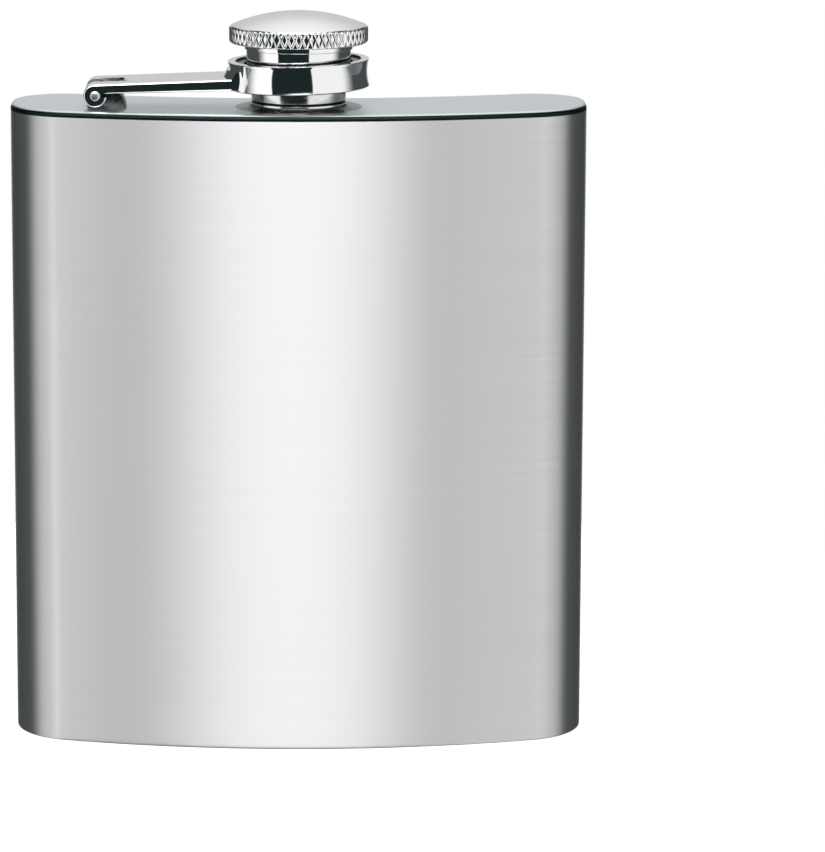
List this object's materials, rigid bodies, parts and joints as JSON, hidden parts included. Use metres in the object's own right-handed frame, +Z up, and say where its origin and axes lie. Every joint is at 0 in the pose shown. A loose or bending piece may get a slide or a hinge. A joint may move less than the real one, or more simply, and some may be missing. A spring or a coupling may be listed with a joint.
{
  "type": "hip flask",
  "caption": "Curved pocket flask of brushed stainless steel with a screw cap held on by a hinged captive arm and ring.",
  "frame": {"origin": "bottom centre of the closed flask's bounding box, on the surface it stands on", "axes": "+Z up along the neck, -Y out of the convex face, +X away from the cap's hinge"},
  "size_m": [0.092, 0.0282, 0.1176],
  "materials": {
    "brushed_shell": "brushed along the flask's width",
    "satin_plate": "even fine satin",
    "turned_neck": "turned, matte",
    "polished_cap": "mirror polished",
    "seal_rubber": "smooth translucent white silicone"
  },
  "bodies": {
    "flask": {"body_shell": "brushed_shell", "top_plate": "satin_plate", "base_plate": "satin_plate", "neck_tube": "turned_neck", "neck_collar": "turned_neck", "hinge_lug": "polished_cap", "hinge_pin": "polished_cap"},
    "captive_arm": {"captive_arm": "polished_cap", "captive_ring": "polished_cap"},
    "cap_seal": {"cap_gasket": "seal_rubber"},
    "cap": {"cap_shell": "polished_cap", "cap_thread_sleeve": "polished_cap"}
  },
  "joints": [
    {"name": "arm_swing", "type": "hinge", "parent": "flask", "child": "captive_arm", "pos_m": [-0.032, -0.00288, 0.1048], "axis": [0, -1, 0], "range_deg": [0, 175]},
    {"name": "cap_lift", "type": "slide", "parent": "captive_arm", "child": "cap_seal", "axis": [0, 0, 1], "range_m": [0, 0.0025]},
    {"name": "cap_turn", "type": "hinge", "parent": "cap_seal", "child": "cap", "pos_m": [0, -0.00288, 0.111], "axis": [0, 0, 1], "range_deg": [0, 720]}
  ],
  "couplings": [
    {"joint": "cap_lift", "follows": "cap_turn", "m_per_rad": 0.00019894}
  ]
}
